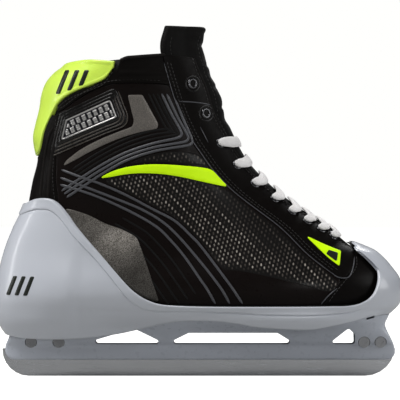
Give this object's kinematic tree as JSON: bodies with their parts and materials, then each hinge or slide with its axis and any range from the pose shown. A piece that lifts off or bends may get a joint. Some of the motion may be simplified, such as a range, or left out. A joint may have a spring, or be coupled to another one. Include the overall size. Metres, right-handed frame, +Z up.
{
  "type": "goalkeeper's ice hockey skate",
  "caption": "Ice hockey goalkeeper's skate: laced ankle boot in a moulded cowling with a long flat steel runner, flexible tendon guard and folding tongue.",
  "frame": {"origin": "on the running edge of the steel, under the middle of the skate", "axes": "+X towards the toe, +Y towards the inner side of the foot (it is a right skate), +Z up"},
  "size_m": [0.3237, 0.1067, 0.276],
  "materials": {
    "cowl_plastic": "smooth moulded, light grey",
    "runner_steel": "ground steel",
    "hardware": "plated steel",
    "outsole_plastic": "black composite",
    "board": "pressed fibreboard",
    "footbed_foam": "moulded foam with a textile cover",
    "shell_composite": "black coated composite with a woven look and printed bands",
    "toe_plastic": "black, semi-gloss",
    "black_leather": "black synthetic leather, stitched",
    "padding": "foam under a textile cover",
    "lining": "brushed lining on foam",
    "guard_plastic": "bright yellow-green, flexible",
    "tongue_felt": "felt core under black synthetic leather",
    "badge_metal": "dark metallised plastic",
    "badge_bezel": "black moulded rim",
    "eyelet_metal": "dark nickel",
    "lace_cotton": "flat woven, off-white",
    "tip_plastic": "clear film over the lace"
  },
  "bodies": {
    "boot": {"cowling": "cowl_plastic", "blade_holder": "cowl_plastic", "runner": "runner_steel", "blade_bolts": "hardware", "blade_nuts": "hardware", "sole_screws": "hardware", "outsole": "outsole_plastic", "insole_board": "board", "footbed": "footbed_foam", "toe_cap": "toe_plastic", "heel_counter": "shell_composite", "quarter_lateral": "shell_composite", "quarter_medial": "shell_composite", "eyestay_lateral": "black_leather", "eyestay_medial": "black_leather", "cuff_lateral": "black_leather", "cuff_medial": "black_leather", "collar_pad_lateral": "padding", "collar_pad_medial": "padding", "liner_lateral": "lining", "liner_medial": "lining", "badge_lateral": "badge_metal", "badge_medial": "badge_metal", "badge_frame_lateral": "badge_bezel", "badge_frame_medial": "badge_bezel", "eyelets_lateral": "eyelet_metal", "eyelets_medial": "eyelet_metal", "guard_base": "guard_plastic", "tongue_lower": "tongue_felt", "lace": "lace_cotton", "lace_tips": "tip_plastic"},
    "guard": {"tendon_guard": "guard_plastic", "tendon_pad": "padding"},
    "tongue_top": {"tongue_flap": "tongue_felt"}
  },
  "joints": [
    {"name": "tendon_guard_flex", "type": "hinge", "parent": "boot", "child": "guard", "pos_m": [-0.1288, 0, 0.199], "axis": [0, -1, 0], "range_deg": [0, 12], "stiffness_Nm_per_rad": 4},
    {"name": "tongue_fold", "type": "hinge", "parent": "boot", "child": "tongue_top", "pos_m": [0.0062, 0, 0.2539], "axis": [0, 1, 0], "range_deg": [0, 40], "stiffness_Nm_per_rad": 0.3}
  ]
}
